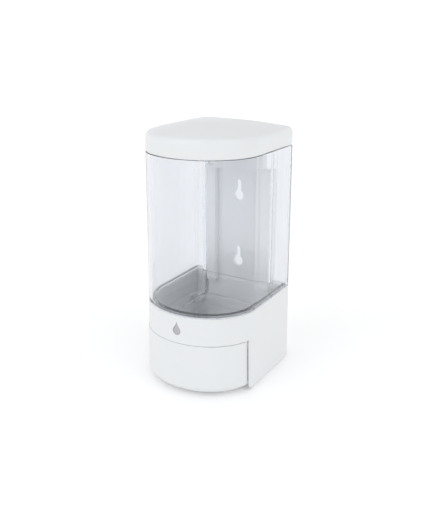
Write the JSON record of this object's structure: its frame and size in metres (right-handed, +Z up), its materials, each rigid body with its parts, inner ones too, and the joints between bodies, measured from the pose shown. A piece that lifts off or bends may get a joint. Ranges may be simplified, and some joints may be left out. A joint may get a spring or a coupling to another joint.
{
  "type": "wall mounted soap dispenser",
  "caption": "Wall mounted liquid soap dispenser with a clear tank, hinged domed lid, keyhole back plate and a push panel that works a pump under the tank.",
  "frame": {"origin": "rear face of the wall plate, midway between the two keyholes", "axes": "+Y into the wall, so the front faces -Y; +Z up; +X to the right as seen from the front"},
  "size_m": [0.1026, 0.1104, 0.2211],
  "materials": {
    "white_shell": "satin white moulded ABS",
    "white_plate": "plain white moulded ABS",
    "clear_tank": "clear moulded plastic",
    "grey_mark": "grey inlaid plastic",
    "natural_plastic": "uncoloured acetal and polypropylene",
    "seal_rubber": "soft silicone rubber",
    "steel": "stainless steel"
  },
  "bodies": {
    "root": {"wall_plate": "white_plate", "base_shell": "white_shell", "bottom_cover": "white_plate", "tank": "clear_tank", "drop_inlay": "grey_mark", "hinge_pin": "steel", "pump_cylinder": "natural_plastic", "cylinder_cap": "natural_plastic", "pump_nut": "natural_plastic", "pump_gasket": "seal_rubber", "inlet_flap": "seal_rubber", "return_spring": "steel", "cover_screw_1": "steel", "cover_screw_2": "steel", "cover_screw_3": "steel", "cover_screw_4": "steel", "plate_screw_1": "steel", "plate_screw_2": "steel", "plate_screw_3": "steel", "plate_screw_4": "steel"},
    "lid": {"lid": "white_shell"},
    "push_panel": {"push_panel": "white_shell", "lift_fork": "natural_plastic", "fork_screw_left": "steel", "fork_screw_right": "steel"},
    "plunger": {"plunger": "natural_plastic", "piston_seal": "seal_rubber", "lift_yoke": "natural_plastic", "nozzle_tip": "seal_rubber"}
  },
  "joints": [
    {"name": "lid_hinge", "type": "hinge", "parent": "root", "child": "lid", "pos_m": [0, -0.006, 0.0902], "axis": [-1, 0, 0], "range_deg": [0, 65]},
    {"name": "panel_press", "type": "slide", "parent": "root", "child": "push_panel", "axis": [0, 1, 0], "range_m": [0, 0.008]},
    {"name": "plunger_lift", "type": "slide", "parent": "root", "child": "plunger", "axis": [0, 0, 1], "range_m": [0, 0.008], "stiffness_N_per_m": 600, "springref_m": -0.005, "deforming": ["return_spring"]}
  ],
  "couplings": [
    {"joint": "plunger_lift", "follows": "panel_press", "ratio": 1}
  ]
}
